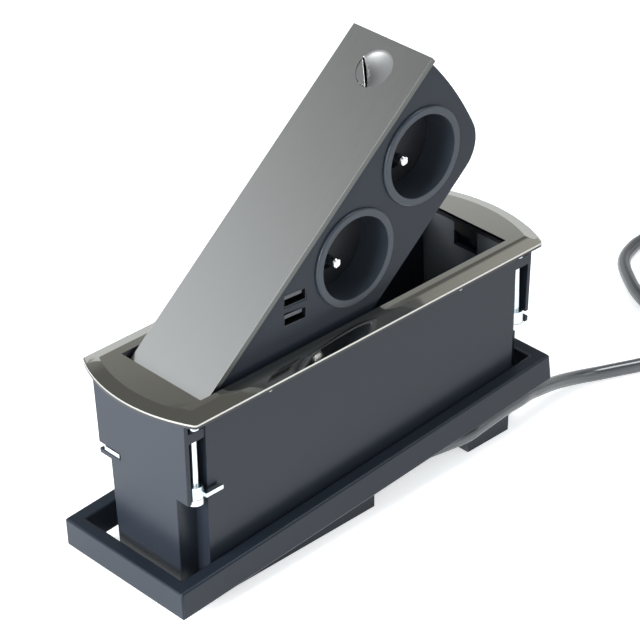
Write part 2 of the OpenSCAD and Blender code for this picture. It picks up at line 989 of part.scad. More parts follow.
// Pawl with its arm set off to the clockwise side of the hub, turned to an angle.
module pawl(sx, sy, angle) {
    bore = screw_diameter / 2 + screw_run + nut_wall;
    near = -pawl_hub - 0.3;
    color("white")
        at_corner(sx, sy)
            rotate([0, 0, angle])
                difference() {
                    union() {
                        translate([0, 0, pawl_height])
                            cylinder(h = pawl_rise, r = pawl_hub);
                        translate([0, 0, arm_low])
                            linear_extrude(height = pawl_arm)
                                polygon([[1, 0], [1, near - pawl_width], [pawl_reach, near - pawl_width],
                                    [pawl_reach, near], [pawl_hub - 0.6, near], [pawl_hub - 0.6, 0]]);
                    }
                    translate([0, 0, pawl_height - 1])
                        cylinder(h = pawl_rise + 2, r = bore);
                }
}

frame_x = -1;
frame_y = 2.8;
frame_z = 5.9;
frame_draft = 0.7;

// The push-on frame, standing tilted on the cord.
module clamping_frame() {
    l = frame_length / 2;
    w = frame_width / 2;
    color("dimgray")
        translate([frame_x - l, frame_y, frame_z])
            rotate([0, -frame_tilt, 0])
                translate([l, 0, 0])
                    difference() {
                        across(-w, w)
                            polygon([[-l, 0], [l, 0], [l - frame_draft, frame_height], [frame_draft - l, frame_height]]);
                        translate([frame_wall - l, frame_wall - w, -1])
                            cube([2 * (l - frame_wall), 2 * (w - frame_wall), frame_height + 2]);
                    }
}

function unit(v) = v / norm(v);
function sum(v, i = 0) = i < len(v) ? v[i] + sum(v, i + 1) : 0;

// Sweeps a ring of the given sides along points, squared to the path.
module tube(path, r, sides) {
    n = len(path);
    points = [
        for (i = [0:n - 1])
            let (t = unit(path[min(i + 1, n - 1)] - path[max(i - 1, 0)]))
            let (side = unit(cross(t, [0, 0, 1])))
            let (up = cross(side, t))
            for (j = [0:sides - 1])
                let (a = 360 * (j + 0.5) / sides)
                path[i] + r * (cos(a) * side + sin(a) * up)
    ];
    faces = [
        [for (j = [sides - 1:-1:0]) j],
        [for (j = [0:sides - 1]) (n - 1) * sides + j],
        for (i = [0:n - 2])
            for (j = [0:sides - 1])
                [i * sides + j, i * sides + (j + 1) % sides, (i + 1) * sides + (j + 1) % sides, (i + 1) * sides + j]
    ];
    polyhedron(points = points, faces = faces, convexity = 8);
}

// The cord's way out of the notch, up over its slack under the frame, and down to the floor.
lead_route = [
    [notch_start + 2.6 + relief_length, gland_y, gland_z], [29.8, gland_y, gland_z], [33, -20.7, 7.5],
    [36.1, -21.2, 8], [39.2, -22.1, 8.6], [42.1, -23.3, 9.4], [48.9, -26.7, 11.1], [55.7, -30, 12.8],
    [58.7, -31.2, 13.4], [61.7, -32.1, 13.9], [64.9, -32.7, 14.4], [68, -32.8, 15],
    [74, -32.7, 15.6], [82, -32.7, 16.6], [90, -32.7, 17.4], [97.5, -32.7, 17.5], [103, -31.7, 16.9], [108, -30.5, 15.8],
    [116.3, -29.5, 14], [125, -28, 11.4], [133.4, -27, 8.9], [141, -26.9, 6.8], [147.6, -27.4, 5.2],
    [153.5, -28.8, 4.2], [158.7, -30.6, 3.7], [168.6, -34.9, 3.5], [178.3, -39.4, 3.5], [190, -43.4, 3.5],
    [203, -43, 3.5], [213.5, -35.5, 3.5], [219.5, -22.5, 3.5], [223, -8, 3.5], [227.2, 3.2, 3.5],
    [232.8, 13.5, 3.5], [242.7, 27.3, 3.5], [251, 34.2, 3.5], [260.6, 37.9, 3.5], [268.6, 39.3, 3.5],
    [285, 39.4, 3.5], [305, 39, 3.7], [330, 39, 4.4], [356, 39, coil_z], [363, 39, coil_z]
];
coil_x = 370;
coil_top = 39;
coil_turns = 2;
coil_rings = 24;
coil_pitch = cord_diameter + 0.6;
coil_lift = cord_diameter + 0.5;
coil_outer = coil_inner + coil_turns * coil_pitch;
coil_y = coil_top - coil_outer;
coil_steps = (2 * coil_turns + 0.5) * coil_rings;

// Turns since the start: in over the lower layer, a half turn up, and out over the upper layer.
function coil_radius(t) =
    t < coil_turns ? coil_outer - coil_pitch * t :
    t > coil_turns + 0.5 ? coil_inner + coil_pitch * (t - coil_turns - 0.5) :
    coil_inner - 1.6 * sin(360 * (t - coil_turns));
function coil_height(t) = coil_z + coil_lift * min(1, max(0, 2 * (t - coil_turns)));
function coil_point(t) =
    [coil_x + coil_radius(t) * sin(360 * t), coil_y + coil_radius(t) * cos(360 * t), coil_height(t)];
coil_path = concat(
    [[coil_x - cord_diameter, coil_top, coil_z]],
    [for (i = [0:coil_steps]) coil_point(i / coil_rings)],
    [[coil_x - cord_diameter, coil_y - coil_outer, coil_z + coil_lift]]
);
coil_gap = min([
    for (i = [1:coil_steps])
        for (j = [i + coil_rings / 2:coil_steps])
            norm(coil_path[i] - coil_path[j])
]) - cord_diameter;

tail_y = coil_y - coil_outer;
plug_z = 18.5;
plug_x = coil_x - 62;
tail_route = [
    [coil_x - cord_diameter, tail_y, coil_z + coil_lift], [coil_x - 14, tail_y, coil_z + coil_lift], [coil_x - 24, tail_y, 13.2],
    [coil_x - 34, tail_y, 15], [coil_x - 44, tail_y, 17], [coil_x - 54, tail_y, plug_z], [plug_x, tail_y, plug_z]
];

echo(coil_gap = coil_gap);
echo(cord_length = sum([for (p = [lead_route, coil_path, tail_route])
    sum([for (i = [1:len(p) - 1]) norm(p[i] - p[i - 1])])]));

module cord_lead() {
    color("gray")
        tube(lead_route, cord_r, 10);
}

module cord_coil() {
    color("gray")
        tube(coil_path, cord_r, 6);
}

module cord_tail() {
    color("gray")
        tube(tail_route, cord_r, 10);
}

plug_r = 18.4;
plug_relief_length = 20;
plug_length = 34;
pin_length = 19;

// Turned along the plug's axis, which runs towards -X from the end of the tail.
module at_plug() {
    translate([plug_x, tail_y, plug_z])
        rotate([0, -90, 0])
            children();
}

// Tie round the coil, where its four strands run side by side.
module cord_tie() {
    far = coil_radius(coil_turns + 1.75) + cord_r + 0.5;
    near = coil_radius(coil_turns + 0.75) - cord_r - 0.5;
    size = [far - near, cord_diameter + coil_lift + 0.2];
    color("dimgray")
        translate([coil_x - far, coil_y + tie_width / 2, tie_thickness])
            rotate([90, 0, 0])
                linear_extrude(height = tie_width)
                    translate(size / 2)
                        difference() {
                            rounded(size + [2 * tie_thickness, 2 * tie_thickness], cord_r + tie_thickness);
                            rounded(size, cord_r);
                        }
}

module rounded(size, r) {
    offset(r = r)
        square(size - [2 * r, 2 * r], center = true);
}

module plug_relief() {
    color("dimgray")
        at_plug()
            cylinder(h = plug_relief_length, r1 = cord_r + 0.8, r2 = 7.5);
}

module plug_body() {
    l = plug_relief_length;
    r = plug_r;
    color("dimgray")
        at_plug()
            difference() {
                rotate_extrude()
                    polygon([[0, l], [7.5, l], [9.5, l + 2], [12, l + 8], [r - 1.4, l + 14], [r - 0.4, l + 15.4],
                        [r, l + 17], [r, l + plug_length - 1], [r - 1, l + plug_length], [0, l + plug_length]]);
                translate([earth_offset, 0, l + plug_length - 15])
                    cylinder(h = 20, r = earth_pin / 2 + 0.2);
                for (s = [-1, 1])
                    translate([0, s * live_spacing / 2, l + plug_length - 8])
                        cylinder(h = 20, r = 2.4);
            }
}

module plug_pins() {
    l = plug_relief_length + plug_length;
    color("silver")
        at_plug()
            for (s = [-1, 1])
                translate([0, s * live_spacing / 2, 0])
                    rotate_extrude()
                        polygon([[0, l - 8], [2.4, l - 8], [2.4, l + pin_length - 1.4], [1.2, l + pin_length], [0, l + pin_length]]);
}

housing();
base_cover();
bezel();
bezel_clips();
hinge_pins();
latch_keeper();
cable_gland();
strain_relief();
terminal_block();
cover_screws();
block_front();
block_rear();
lid();
pivot_bushes();
socket_ring(socket_one);  // socket_ring_1
socket_ring(socket_two);  // socket_ring_2
socket_floor(socket_one);  // socket_floor_1
socket_floor(socket_two);  // socket_floor_2
earth_pin_at(socket_one);  // earth_pin_1
earth_pin_at(socket_two);  // earth_pin_2
shutter(socket_one);  // shutter_1
shutter(socket_two);  // shutter_2
live_contacts(socket_one);  // live_contacts_1
live_contacts(socket_two);  // live_contacts_2
usb_shell(0);  // usb_shell_1
usb_shell(1);  // usb_shell_2
usb_tongue(0);  // usb_tongue_1
usb_tongue(1);  // usb_tongue_2
charger_board();
block_screws();
latch_flap();
latch_hook();
clamp_screw(-1, -1);  // clamp_screw_lf
clamp_screw(1, -1);  // clamp_screw_rf
clamp_screw(-1, 1);  // clamp_screw_lb
clamp_screw(1, 1);  // clamp_screw_rb
clamp_nut(-1, -1);  // clamp_nut_lf
clamp_nut(1, -1);  // clamp_nut_rf
clamp_nut(-1, 1);  // clamp_nut_lb
clamp_nut(1, 1);  // clamp_nut_rb
pawl(-1, -1, 0);  // pawl_lf
pawl(1, -1, 90);  // pawl_rf
pawl(-1, 1, 270);  // pawl_lb
pawl(1, 1, 180);  // pawl_rb
clamping_frame();
cord_lead();
cord_coil();
cord_tail();
cord_tie();
plug_body();
plug_pins();
plug_relief();
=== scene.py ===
import math

import bmesh
import bpy
from mathutils import Matrix, Vector
from mathutils.kdtree import KDTree


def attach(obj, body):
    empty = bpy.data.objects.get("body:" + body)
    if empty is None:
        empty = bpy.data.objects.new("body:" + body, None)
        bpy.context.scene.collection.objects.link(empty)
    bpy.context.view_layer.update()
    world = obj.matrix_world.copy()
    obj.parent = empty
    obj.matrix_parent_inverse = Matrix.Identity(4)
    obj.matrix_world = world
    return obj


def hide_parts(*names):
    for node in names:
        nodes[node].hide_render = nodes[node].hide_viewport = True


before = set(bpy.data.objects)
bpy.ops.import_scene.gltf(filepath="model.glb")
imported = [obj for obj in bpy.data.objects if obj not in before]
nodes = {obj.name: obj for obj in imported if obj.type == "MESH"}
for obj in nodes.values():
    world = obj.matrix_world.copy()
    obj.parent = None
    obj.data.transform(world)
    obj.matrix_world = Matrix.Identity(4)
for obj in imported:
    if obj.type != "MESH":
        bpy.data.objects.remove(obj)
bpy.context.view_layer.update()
scene = bpy.context.scene
scene.view_settings.view_transform = "Standard"
mm = 0.001
lidLean = math.radians(39.7)  # of the open block
print("frame loaded:", len(nodes), "nodes")


# the camera, from the fit to the photograph, in degrees and millimetres
cameraSetup = {
    "azimuth": -42.966,
    "elevation": 32.074,
    "roll": -1.148,
    "distance": 1303.71,
    "target": (0.173, 0.0, 91.307),
    "lens": 163.076,
    "sensor": 36.0,
    "reach": 20.0,  # how far it sees, in metres
}


def makeCamera(setup):
    az, el, roll = (math.radians(setup[k]) for k in ("azimuth", "elevation", "roll"))
    back = Vector((math.sin(az) * math.cos(el), -math.cos(az) * math.cos(el), math.sin(el)))
    side = Vector((math.cos(az), math.sin(az), 0.0))
    up = back.cross(side)
    turnedSide = side * math.cos(roll) + up * math.sin(roll)
    turnedUp = up * math.cos(roll) - side * math.sin(roll)
    cam = bpy.data.cameras.new("camera")
    cam.lens = setup["lens"]
    cam.sensor_width = setup["sensor"]
    cam.clip_end = setup["reach"]
    obj = bpy.data.objects.new("camera", cam)
    scene.collection.objects.link(obj)
    spot = (Vector(setup["target"]) + back * setup["distance"]) * mm
    basis = Matrix((turnedSide, turnedUp, back)).transposed().to_4x4()
    obj.matrix_world = Matrix.Translation(spot) @ basis
    scene.camera = obj


makeCamera(cameraSetup)


# helpers for node trees
def addNode(tree, kind, **settings):
    # a setting that starts with in_ goes to the input of that name
    node = tree.nodes.new(kind)
    for key, value in settings.items():
        if key.startswith("in_"):
            node.inputs[key[3:].replace("_", " ")].default_value = value
        else:
            setattr(node, key, value)
    return node


def mathNode(tree, operation, *values):
    node = addNode(tree, "ShaderNodeMath", operation=operation)
    for slot, value in zip(node.inputs, values):
        if isinstance(value, (int, float)):
            slot.default_value = value
        else:
            tree.links.new(value, slot)
    return node.outputs[0]


def mapRange(tree, value, fromMin, fromMax, toMin, toMax):
    node = addNode(tree, "ShaderNodeMapRange", interpolation_type="SMOOTHSTEP",
                   in_From_Min=fromMin, in_From_Max=fromMax, in_To_Min=toMin, in_To_Max=toMax)
    tree.links.new(value, node.inputs["Value"])
    return node.outputs["Result"]


def mixColours(tree, share, first, second):
    node = addNode(tree, "ShaderNodeMix", data_type="RGBA")
    factor, start, end = (node.inputs[i] for i in (0, 6, 7))  # the sockets of its colour form
    start.default_value = (*first, 1)
    end.default_value = (*second, 1)
    tree.links.new(share, factor)
    return node.outputs[2]


def addShaders(tree, first, second):
    both = addNode(tree, "ShaderNodeAddShader")
    tree.links.new(first, both.inputs[0])
    tree.links.new(second, both.inputs[1])
    return both.outputs["Shader"]


def newGroup(name, inputs):
    # a node group that several materials share
    group = bpy.data.node_groups.new(name, "ShaderNodeTree")
    for label, value in inputs.items():
        socket = group.interface.new_socket(label, in_out="INPUT", socket_type="NodeSocketFloat")
        socket.default_value = value
    for label in ("Height", "Roughness", "Tint"):
        group.interface.new_socket(label, in_out="OUTPUT", socket_type="NodeSocketFloat")
    return group, group.nodes.new("NodeGroupInput").outputs, group.nodes.new("NodeGroupOutput").inputs


# fine moulded texture: a tiny bump, and soft clouds in the gloss and the tint
grainPlan = {
    "inputs": {"Grain per mm": 3.0, "Cloud": 0.5, "Rough": 0.4, "Spread": 0.08},
    "grain": {"in_Detail": 2.0, "in_Roughness": 0.6},
    "clouds": {"in_Scale": 28.0, "in_Detail": 4.0, "in_Roughness": 0.55},
}


def makeMouldGrain(plan):
    group, given, result = newGroup("mouldGrain", plan["inputs"])
    link = group.links.new
    coord = addNode(group, "ShaderNodeTexCoord").outputs["Object"]
    grain = addNode(group, "ShaderNodeTexNoise", **plan["grain"])
    clouds = addNode(group, "ShaderNodeTexNoise", **plan["clouds"])
    link(coord, grain.inputs["Vector"])
    link(coord, clouds.inputs["Vector"])
    link(mathNode(group, "MULTIPLY", given["Grain per mm"], 1 / mm), grain.inputs["Scale"])
    centred = mathNode(group, "SUBTRACT", clouds.outputs["Fac"], 0.5)
    swing = mathNode(group, "MULTIPLY", mathNode(group, "MULTIPLY", centred, given["Spread"]), 2.0)
    link(grain.outputs["Fac"], result["Height"])
    link(mathNode(group, "ADD", given["Rough"], swing), result["Roughness"])
    link(mathNode(group, "MULTIPLY_ADD", centred, given["Cloud"], 0.5), result["Tint"])
    return group


# long thin streaks that follow the lean of the lid
brushPlan = {
    "inputs": {"Angle": 0.0, "Lines per mm": 6.0, "Length mm": 12.0, "Rough": 0.3, "Spread": 0.1},
    "through": 300.0,  # streaks per metre through the sheet
    "noise": {"in_Scale": 1.0, "in_Detail": 3.0, "in_Roughness": 0.65},
}


def makeBrushLines(plan):
    group, given, result = newGroup("brushLines", plan["inputs"])
    link = group.links.new
    turn = addNode(group, "ShaderNodeVectorRotate", rotation_type="Y_AXIS")
    link(addNode(group, "ShaderNodeTexCoord").outputs["Object"], turn.inputs["Vector"])
    link(given["Angle"], turn.inputs["Angle"])
    parts = addNode(group, "ShaderNodeSeparateXYZ")
    link(turn.outputs["Vector"], parts.inputs["Vector"])
    alongMm, acrossMm = (mathNode(group, "MULTIPLY", parts.outputs[axis], 1 / mm) for axis in "XY")
    joined = addNode(group, "ShaderNodeCombineXYZ")
    link(mathNode(group, "DIVIDE", alongMm, given["Length mm"]), joined.inputs["X"])
    link(mathNode(group, "MULTIPLY", acrossMm, given["Lines per mm"]), joined.inputs["Y"])
    link(mathNode(group, "MULTIPLY", parts.outputs["Z"], plan["through"]), joined.inputs["Z"])
    noise = addNode(group, "ShaderNodeTexNoise", **plan["noise"])
    link(joined.outputs["Vector"], noise.inputs["Vector"])
    centred = mathNode(group, "SUBTRACT", noise.outputs["Fac"], 0.5)
    link(noise.outputs["Fac"], result["Height"])
    link(mathNode(group, "MULTIPLY_ADD", centred, given["Spread"], given["Rough"]), result["Roughness"])
    link(mathNode(group, "ADD", centred, 0.5), result["Tint"])
    return group


mouldGrain = makeMouldGrain(grainPlan)
brushLines = makeBrushLines(brushPlan)


def surface(name, group, values, dark, light, bump, bumpDepth=0.02, **sockets):
    # a Principled surface whose colour, gloss and bump come from one of the shared groups
    # the bump's depth is in mm
    material = bpy.data.materials.new(name)
    material.use_nodes = True
    tree = material.node_tree
    shader = tree.nodes["Principled BSDF"]
    effect = addNode(tree, "ShaderNodeGroup", node_tree=group)
    for key, value in values.items():
        effect.inputs[key].default_value = value
    tree.links.new(mixColours(tree, effect.outputs["Tint"], dark, light), shader.inputs["Base Color"])
    tree.links.new(effect.outputs["Roughness"], shader.inputs["Roughness"])
    relief = addNode(tree, "ShaderNodeBump", in_Strength=bump, in_Distance=bumpDepth * mm)
    tree.links.new(effect.outputs["Height"], relief.inputs["Height"])
    tree.links.new(relief.outputs["Normal"], shader.inputs["Normal"])
    for key, value in sockets.items():
        shader.inputs[key.replace("_", " ")].default_value = value
    return material


def moulded(name, plan, **sockets):
    # grain is: lines per mm, clouds in the tint, roughness, and how far that swings
    values = dict(zip(("Grain per mm", "Cloud", "Rough", "Spread"), plan["grain"]))
    return surface(name, mouldGrain, values, plan["dark"], plan["light"], plan["bump"], **sockets)


def brushed(name, plan, **sockets):
    # lines is: streaks per mm, their length in mm, roughness, and how far that swings
    values = dict(zip(("Lines per mm", "Length mm", "Rough", "Spread"), plan["lines"]), Angle=lidLean)
    return surface(name, brushLines, values, plan["dark"], plan["light"], plan["bump"],
                   bumpDepth=0.01, **sockets)


# moulded plastics with a cool sheen, whose specular level is given beside the plan
plasticPlans = {
    "satinMould": (0.25, {"grain": (4.0, 0.5, 0.3, 0.05), "bump": 0.12,
                          "dark": (0.010, 0.013, 0.019), "light": (0.015, 0.019, 0.027)}),
    "blockMould": (0.22, {"grain": (4.0, 0.5, 0.34, 0.05), "bump": 0.12,
                          "dark": (0.011, 0.0145, 0.021), "light": (0.016, 0.0205, 0.029)}),
    "ringMould": (0.42, {"grain": (4.0, 0.5, 0.3, 0.05), "bump": 0.1,
                         "dark": (0.022, 0.028, 0.037), "light": (0.030, 0.037, 0.048)}),
    "frameMould": (0.22, {"grain": (3.0, 0.6, 0.3, 0.06), "bump": 0.14,
                          "dark": (0.009, 0.0125, 0.0185), "light": (0.0135, 0.018, 0.026)}),
}
coolSheen = (0.86, 0.92, 1.0, 1.0)

# plain plastics and rubber; the bay's grey is painted light on the bay's walls, and the dark well colour
# is also painted shade on the bezel's rim
plainPlans = {
    # dark well moulding, also used as painted shade on the bezel's lower rim and the opening's walls
    "wellMould": {"grain": (4.0, 0.4, 0.45, 0.05), "bump": 0.1,
                  "dark": (0.008, 0.009, 0.012), "light": (0.014, 0.015, 0.019)},
    # the bay's walls and floor, lighter than the housing as painted light; the same grey is the USB
    # tongue's own colour
    "bayMould": {"grain": (4.0, 0.4, 0.45, 0.05), "bump": 0.1,
                 "dark": (0.075, 0.083, 0.094), "light": (0.095, 0.104, 0.117)},
    "rubberBoot": {"grain": (3.0, 0.5, 0.5, 0.06), "bump": 0.15,
                   "dark": (0.035, 0.036, 0.04), "light": (0.05, 0.051, 0.056)},
    "paleMould": {"grain": (3.0, 0.4, 0.4, 0.05), "bump": 0.1,
                  "dark": (0.5, 0.5, 0.47), "light": (0.6, 0.6, 0.57)},
    "boardGreen": {"grain": (2.0, 0.6, 0.4, 0.1), "bump": 0.1,
                   "dark": (0.02, 0.12, 0.05), "light": (0.03, 0.17, 0.07)},
}

metalPlans = {
    # the lid's cut sides: a darker copy of the lid metal, as painted shade
    "lidEdge": {"grain": (5.0, 0.5, 0.35, 0.08), "bump": 0.1,
                "dark": (0.09, 0.095, 0.09), "light": (0.13, 0.136, 0.13)},
    "polishedBezel": {"grain": (2.0, 0.3, 0.09, 0.03), "bump": 0.02,
                      "dark": (0.42, 0.415, 0.385), "light": (0.47, 0.465, 0.435)},
    "brightZinc": {"grain": (6.0, 0.6, 0.22, 0.08), "bump": 0.08,
                   "dark": (0.6, 0.68, 0.73), "light": (0.74, 0.81, 0.86)},
    "chromePin": {"grain": (8.0, 0.2, 0.1, 0.03), "bump": 0.02,
                  "dark": (0.82, 0.82, 0.82), "light": (0.9, 0.9, 0.9)},
    "portSteel": {"grain": (6.0, 0.4, 0.35, 0.08), "bump": 0.05,
                  "dark": (0.05, 0.054, 0.06), "light": (0.07, 0.075, 0.082)},
    "darkSteel": {"grain": (6.0, 0.4, 0.3, 0.08), "bump": 0.05,
                  "dark": (0.3, 0.3, 0.3), "light": (0.38, 0.38, 0.38)},
    "warmBrass": {"grain": (6.0, 0.4, 0.28, 0.08), "bump": 0.05,
                  "dark": (0.6, 0.42, 0.18), "light": (0.72, 0.53, 0.26)},
}

brushedPlans = {
    "brushedLid": {"lines": (7.0, 14.0, 0.21, 0.07), "bump": 0.03,
                   "dark": (0.52, 0.53, 0.53), "light": (0.60, 0.612, 0.615)},
    # the dish: a rougher copy of the lid metal whose darker colour is painted shade
    "dishLid": {"lines": (7.0, 14.0, 0.42, 0.07), "bump": 0.03,
                "dark": (0.25, 0.255, 0.255), "light": (0.31, 0.316, 0.32)},
}

cordFinish = {"grain": (2.0, 0.5, 0.2, 0.04), "bump": 0.04,
              "dark": (0.045, 0.05, 0.056), "light": (0.062, 0.068, 0.076)}

finish = {"cordSheath": moulded("cordSheath", cordFinish, Specular_IOR_Level=1.0)}
for name, (level, plan) in plasticPlans.items():
    finish[name] = moulded(name, plan, Specular_Tint=coolSheen, Specular_IOR_Level=level)
for name, plan in plainPlans.items():
    finish[name] = moulded(name, plan)
for name, plan in metalPlans.items():
    finish[name] = moulded(name, plan, Metallic=1.0)
for name, plan in brushedPlans.items():
    finish[name] = brushed(name, plan, Metallic=1.0)
print("materials made:", len(bpy.data.materials))


# the cord, along the route that the solids have, in millimetres
cordPlan = {
    "diameter": 7.0,
    "lead": [
        (28.3, -20.5, 7.2), (29.8, -20.5, 7.2), (33, -20.7, 7.5), (36.1, -21.2, 8), (39.2, -22.1, 8.6),
        (42.1, -23.3, 9.4), (48.9, -26.7, 11.1), (55.7, -30, 12.8), (58.7, -31.2, 13.4),
        (61.7, -32.1, 13.9), (64.9, -32.7, 14.4), (68, -32.8, 15), (74, -32.7, 15.6), (82, -32.7, 16.6),
        (90, -32.7, 17.4), (97.5, -32.7, 17.5), (103, -31.7, 16.9), (108, -30.5, 15.8),
        (116.3, -29.5, 14), (125, -28, 11.4), (133.4, -27, 8.9), (141, -26.9, 6.8), (147.6, -27.4, 5.2),
        (153.5, -28.8, 4.2), (158.7, -30.6, 3.7), (168.6, -34.9, 3.5), (178.3, -39.4, 3.5),
        (190, -43.4, 3.5), (203, -43, 3.5), (213.5, -35.5, 3.5), (219.5, -22.5, 3.5), (223, -8, 3.5),
        (227.2, 3.2, 3.5), (232.8, 13.5, 3.5), (242.7, 27.3, 3.5), (251, 34.2, 3.5), (260.6, 37.9, 3.5),
        (268.6, 39.3, 3.5), (285, 39.4, 3.5), (305, 39, 3.7), (330, 39, 4.4), (356, 39, 4.6),
        (363, 39, 4.6),
    ],
    "coilHeight": 4.6,
    "coilX": 370.0,
    "coilTop": 39.0,
    "coilInner": 32.0,
    "coilTurns": 2,
    "pointsPerTurn": 36,
    "pitch": 7.6,
    "lift": 7.5,  # from the lower layer to the upper one, over half a turn
    "tuck": 1.6,  # how far that half turn swings inwards
    "tail": [(0, 12.1), (-7, 12.1), (-17, 13.2), (-27, 15), (-37, 17), (-47, 18.5), (-55, 18.5)],
    "smooth": 3,
    "inside": 0.99,  # of the solid's thickness
    "roundness": 6,
}


def smoothPath(points, steps):
    # a smooth curve that passes through every point
    out = []
    last = len(points) - 1
    for i in range(last):
        p0, p1, p2, p3 = (Vector(points[min(max(j, 0), last)]) for j in (i - 1, i, i + 1, i + 2))
        for k in range(steps):
            t = k / steps
            square = (2 * p0 - 5 * p1 + 4 * p2 - p3) * t * t
            cube = (3 * p1 - p0 - 3 * p2 + p3) * t * t * t
            out.append(0.5 * (2 * p1 + (p2 - p0) * t + square + cube))
    out.append(Vector(points[-1]))
    return out


def coilPoints(plan):
    # two layers: inwards below, half a turn up, outwards above
    turns, inner, pitch = plan["coilTurns"], plan["coilInner"], plan["pitch"]
    outer = inner + turns * pitch
    centre = plan["coilTop"] - outer
    climb = 0.5
    points = []
    for i in range(int((2 * turns + climb) * plan["pointsPerTurn"]) + 1):
        t = i / plan["pointsPerTurn"]
        if t < turns:
            radius = outer - pitch * t
        elif t > turns + climb:
            radius = inner + pitch * (t - turns - climb)
        else:
            radius = inner - plan["tuck"] * math.sin(2 * math.pi * (t - turns))
        height = plan["coilHeight"] + plan["lift"] * min(1, max(0, (t - turns) / climb))
        angle = 2 * math.pi * t
        x, y = plan["coilX"] + radius * math.sin(angle), centre + radius * math.cos(angle)
        points.append(Vector((x, y, height)))
    return points, centre - outer


def makeCord(plan):
    lead = smoothPath(plan["lead"], plan["smooth"])
    coil, tailY = coilPoints(plan)
    tailX = plan["coilX"] - plan["diameter"]
    tail = smoothPath([(tailX + dx, tailY, z) for dx, z in plan["tail"]], plan["smooth"])
    path = [p * mm for p in lead + coil + tail]
    curve = bpy.data.curves.new("mainsCord", "CURVE")
    curve.dimensions = "3D"
    curve.bevel_depth = plan["diameter"] / 2 * mm * plan["inside"]
    curve.bevel_resolution = plan["roundness"]
    curve.use_fill_caps = True
    spline = curve.splines.new("POLY")
    spline.points.add(len(path) - 1)
    for point, spot in zip(spline.points, path):
        point.co = (*spot, 1.0)
    spline.use_smooth = True
    curve.materials.append(finish["cordSheath"])
    obj = bpy.data.objects.new("mainsCord", curve)
    scene.collection.objects.link(obj)
    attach(obj, "housing")
    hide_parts("cord_lead", "cord_coil", "cord_tail")


makeCord(cordPlan)


# the floor is white to the camera and to reflections, and keeps the shadow
floorPlan = {
    "colour": (0.80, 0.81, 0.82),
    "roughness": 0.6,
    "specular": 0.2,
    "glow": (0.97, 0.985, 1.0, 1),
    "glowStrength": 0.6,
    "size": 6.0,
    "below": 0.0003,
}

# a white room up to about 36 degrees under a darker ceiling with soft lamps in it
studioPlan = {
    "bright": 1.0,
    "dim": 0.2,
    "brightColour": (0.955, 0.985, 1.0),
    "dimColour": (1.0, 0.99, 0.93),
    "edge": 0.594,  # height of the bright zone's upper edge, as a sine
    "edgeSlant": 0.146,
    "edgeSoft": 0.05,
    # direction, cosines of the outer and inner edge, strength, colour
    "lamps": [
        ((0.578, -0.531, 0.620), 0.975, 0.995, 2.0, (0.93, 0.97, 1.0)),
        ((0.39, -0.10, 0.91), 0.970, 0.990, 9.0, (0.93, 0.97, 1.0)),
        ((0.74, 0.24, 0.62), 0.972, 0.992, 0.45, (1.0, 0.99, 0.93)),
    ],
}

boxPlan = {
    "leftBox": {"spot": (-1.3, 0.1, 0.5), "aim": (0, 0, 0.07), "size": (0.8, 0.6), "power": 44},
    "frontFill": {"spot": (-0.6, -0.75, 0.95), "aim": (0, 0, 0.06), "size": (0.7, 0.7), "power": 2.0},
}


def makeFloor(plan):
    mesh = bpy.data.meshes.new("floor")
    size = plan["size"]
    corners = [(-size, -size, 0), (size, -size, 0), (size, size, 0), (-size, size, 0)]
    mesh.from_pydata(corners, [], [(0, 1, 2, 3)])
    floor = bpy.data.objects.new("floor", mesh)
    scene.collection.objects.link(floor)
    floor.location.z = -plan["below"]
    material = bpy.data.materials.new("paleFloor")
    material.use_nodes = True
    tree = material.node_tree
    shader = tree.nodes["Principled BSDF"]
    shader.inputs["Base Color"].default_value = (*plan["colour"], 1)
    shader.inputs["Roughness"].default_value = plan["roughness"]
    shader.inputs["Specular IOR Level"].default_value = plan["specular"]
    glow = addNode(tree, "ShaderNodeEmission", in_Color=plan["glow"])
    rays = addNode(tree, "ShaderNodeLightPath").outputs
    seen = mathNode(tree, "MAXIMUM", rays["Is Camera Ray"], rays["Is Glossy Ray"])
    tree.links.new(mathNode(tree, "MULTIPLY", seen, plan["glowStrength"]), glow.inputs["Strength"])
    both = addShaders(tree, shader.outputs["BSDF"], glow.outputs["Emission"])
    tree.links.new(both, tree.nodes["Material Output"].inputs["Surface"])
    mesh.materials.append(material)


def makeStudio(plan):
    world = bpy.data.worlds.new("studio")
    scene.world = world
    world.use_nodes = True
    tree = world.node_tree
    back = tree.nodes["Background"]
    look = addNode(tree, "ShaderNodeTexCoord").outputs["Generated"]
    parts = addNode(tree, "ShaderNodeSeparateXYZ")
    tree.links.new(look, parts.inputs["Vector"])
    edge = mathNode(tree, "MULTIPLY_ADD", parts.outputs["X"], -plan["edgeSlant"], plan["edge"])
    above = mathNode(tree, "SUBTRACT", parts.outputs["Z"], edge)
    level = mapRange(tree, above, -plan["edgeSoft"], plan["edgeSoft"], plan["bright"], plan["dim"])
    tree.links.new(mixColours(tree, level, plan["dimColour"], plan["brightColour"]), back.inputs["Color"])
    tree.links.new(level, back.inputs["Strength"])
    total = back.outputs["Background"]
    for direction, outer, inner, strength, colour in plan["lamps"]:
        facing = addNode(tree, "ShaderNodeVectorMath", operation="DOT_PRODUCT")
        tree.links.new(look, facing.inputs[0])
        facing.inputs[1].default_value = Vector(direction).normalized()
        lamp = addNode(tree, "ShaderNodeBackground", in_Color=(*colour, 1))
        glow = mapRange(tree, facing.outputs["Value"], outer, inner, 0.0, strength)
        tree.links.new(glow, lamp.inputs["Strength"])
        total = addShaders(tree, total, lamp.outputs["Background"])
    tree.links.new(total, tree.nodes["World Output"].inputs["Surface"])


